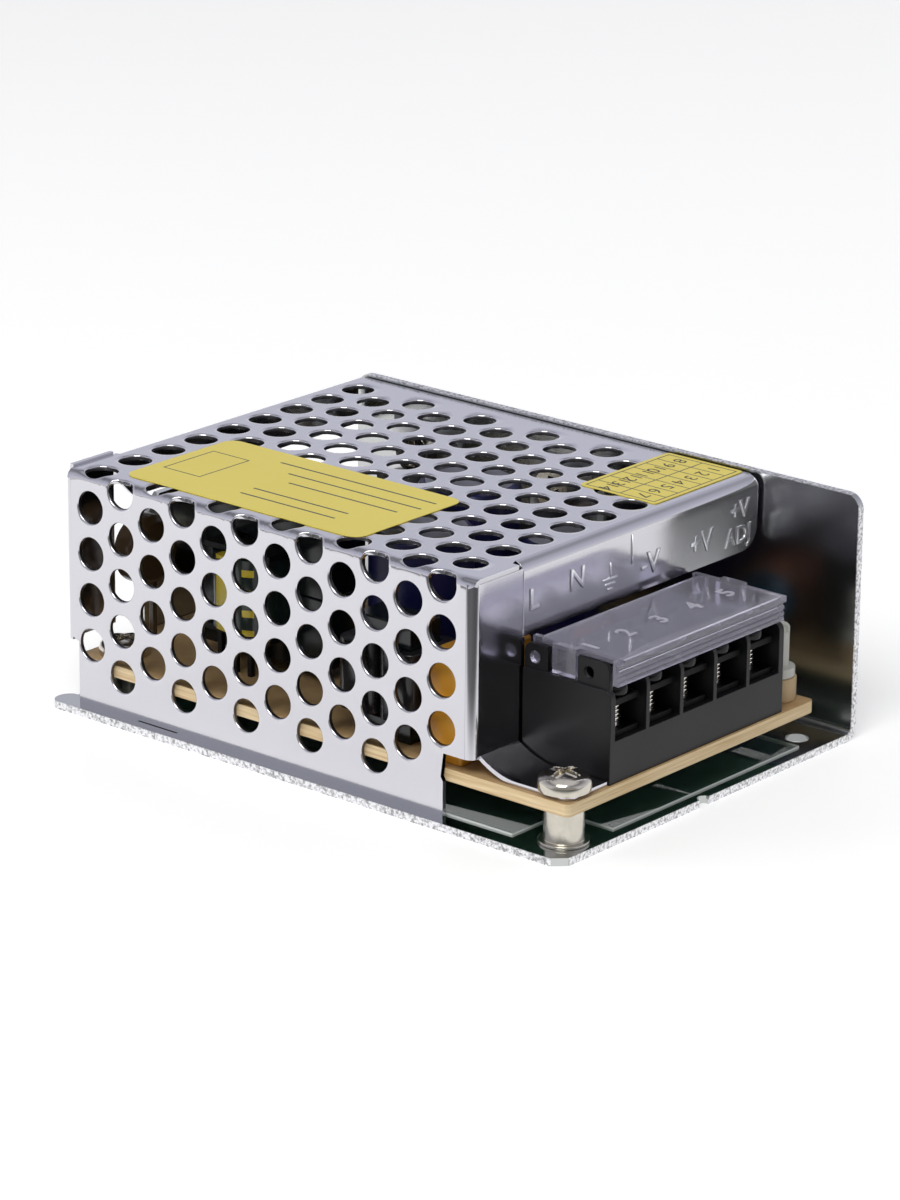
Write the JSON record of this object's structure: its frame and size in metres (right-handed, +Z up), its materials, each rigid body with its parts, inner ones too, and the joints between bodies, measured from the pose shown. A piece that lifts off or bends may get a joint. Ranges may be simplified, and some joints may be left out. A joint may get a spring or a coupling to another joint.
{
  "type": "led power supply",
  "caption": "Open-frame LED power supply in a folded metal case with a perforated cover, a screw terminal block under a clear hinged flap and an output trimmer.",
  "frame": {"origin": "centre of the footprint, on the underside of the bottom plate", "axes": "+X towards the terminal end, +Y towards the plain wall, +Z up"},
  "size_m": [0.083, 0.058, 0.0318],
  "materials": {
    "chassis": "bright rolled sheet with sheared edges",
    "cover": "satin sheet",
    "insulation_film": "clear film",
    "standoffs": "turned",
    "circuit_board": "bare phenolic board",
    "board_screws": "nickel plated",
    "terminal_block": "satin moulding",
    "terminal_contacts": "tinned",
    "terminal_flap": "clear moulding",
    "trimmer_base": "moulded",
    "trimmer_rotor": "moulded",
    "transformer_core": "ground ferrite",
    "transformer_bobbin": "moulded",
    "transformer_winding": "taped",
    "bulk_capacitor": "sleeved can",
    "output_capacitor": "sleeved can",
    "filter_capacitor": "sleeved can",
    "box_capacitor": "moulded box",
    "snubber_capacitor": "dipped",
    "disc_capacitor": "dipped",
    "inrush_limiter": "dipped",
    "input_fuse": "coated tube",
    "bridge_rectifier": "moulded",
    "optocoupler": "moulded",
    "control_chip": "moulded",
    "choke_core": "ferrite",
    "choke_coils": "taped coil",
    "inductor_core": "coated ring",
    "inductor_winding": "enamelled copper wire",
    "power_transistor": "moulded on a tinned tab",
    "output_rectifier": "moulded on a tinned tab",
    "insulating_pads": "thermal sheet",
    "device_screws": "nickel plated",
    "ruled_label": "coated label",
    "number_label": "coated label",
    "terminal_hardware": "nickel plated"
  },
  "bodies": {
    "case": {"chassis": "chassis", "cover": "cover", "insulation_film": "insulation_film", "standoffs": "standoffs", "circuit_board": "circuit_board", "board_screws": "board_screws", "terminal_block": "terminal_block", "terminal_contacts": "terminal_contacts", "trimmer_base": "trimmer_base", "transformer_core": "transformer_core", "transformer_bobbin": "transformer_bobbin", "transformer_winding": "transformer_winding", "bulk_capacitor": "bulk_capacitor", "output_capacitor": "output_capacitor", "filter_capacitor": "filter_capacitor", "box_capacitor": "box_capacitor", "snubber_capacitor": "snubber_capacitor", "disc_capacitor": "disc_capacitor", "inrush_limiter": "inrush_limiter", "input_fuse": "input_fuse", "bridge_rectifier": "bridge_rectifier", "optocoupler": "optocoupler", "control_chip": "control_chip", "choke_core": "choke_core", "choke_coils": "choke_coils", "inductor_core": "inductor_core", "inductor_winding": "inductor_winding", "power_transistor": "power_transistor", "output_rectifier": "output_rectifier", "insulating_pads": "insulating_pads", "device_screws": "device_screws", "ruled_label": "ruled_label", "number_label": "number_label"},
    "flap": {"terminal_flap": "terminal_flap"},
    "trimmer": {"trimmer_rotor": "trimmer_rotor"},
    "clamp_1": {"terminal_clamp_1": "terminal_hardware"},
    "screw_1": {"terminal_screw_1": "terminal_hardware"},
    "clamp_2": {"terminal_clamp_2": "terminal_hardware"},
    "screw_2": {"terminal_screw_2": "terminal_hardware"},
    "clamp_3": {"terminal_clamp_3": "terminal_hardware"},
    "screw_3": {"terminal_screw_3": "terminal_hardware"},
    "clamp_4": {"terminal_clamp_4": "terminal_hardware"},
    "screw_4": {"terminal_screw_4": "terminal_hardware"},
    "clamp_5": {"terminal_clamp_5": "terminal_hardware"},
    "screw_5": {"terminal_screw_5": "terminal_hardware"}
  },
  "joints": [
    {"name": "flap_hinge", "type": "hinge", "parent": "case", "child": "flap", "pos_m": [0.02845, -0.00165, 0.0202], "axis": [0, -1, 0], "range_deg": [0, 70]},
    {"name": "trimmer_turn", "type": "hinge", "parent": "case", "child": "trimmer", "pos_m": [0.03645, 0.0189, 0.012], "axis": [0, 0, 1], "range_deg": [-120, 120]},
    {"name": "clamp_1_slide", "type": "slide", "parent": "case", "child": "clamp_1", "axis": [0, 0, 1], "range_m": [-0.003, 0.0004]},
    {"name": "screw_1_turn", "type": "hinge", "parent": "clamp_1", "child": "screw_1", "pos_m": [0.03675, -0.01465, 0.018], "axis": [0, 0, 1], "range_deg": [-2161, 289]},
    {"name": "clamp_2_slide", "type": "slide", "parent": "case", "child": "clamp_2", "axis": [0, 0, 1], "range_m": [-0.003, 0.0004]},
    {"name": "screw_2_turn", "type": "hinge", "parent": "clamp_2", "child": "screw_2", "pos_m": [0.03675, -0.00815, 0.018], "axis": [0, 0, 1], "range_deg": [-2161, 289]},
    {"name": "clamp_3_slide", "type": "slide", "parent": "case", "child": "clamp_3", "axis": [0, 0, 1], "range_m": [-0.003, 0.0004]},
    {"name": "screw_3_turn", "type": "hinge", "parent": "clamp_3", "child": "screw_3", "pos_m": [0.03675, -0.00165, 0.018], "axis": [0, 0, 1], "range_deg": [-2161, 289]},
    {"name": "clamp_4_slide", "type": "slide", "parent": "case", "child": "clamp_4", "axis": [0, 0, 1], "range_m": [-0.003, 0.0004]},
    {"name": "screw_4_turn", "type": "hinge", "parent": "clamp_4", "child": "screw_4", "pos_m": [0.03675, 0.00485, 0.018], "axis": [0, 0, 1], "range_deg": [-2161, 289]},
    {"name": "clamp_5_slide", "type": "slide", "parent": "case", "child": "clamp_5", "axis": [0, 0, 1], "range_m": [-0.003, 0.0004]},
    {"name": "screw_5_turn", "type": "hinge", "parent": "clamp_5", "child": "screw_5", "pos_m": [0.03675, 0.01135, 0.018], "axis": [0, 0, 1], "range_deg": [-2161, 289]}
  ],
  "couplings": [
    {"joint": "screw_1_turn", "follows": "clamp_1_slide", "rad_per_m": 12566},
    {"joint": "screw_2_turn", "follows": "clamp_2_slide", "rad_per_m": 12566},
    {"joint": "screw_3_turn", "follows": "clamp_3_slide", "rad_per_m": 12566},
    {"joint": "screw_4_turn", "follows": "clamp_4_slide", "rad_per_m": 12566},
    {"joint": "screw_5_turn", "follows": "clamp_5_slide", "rad_per_m": 12566}
  ]
}
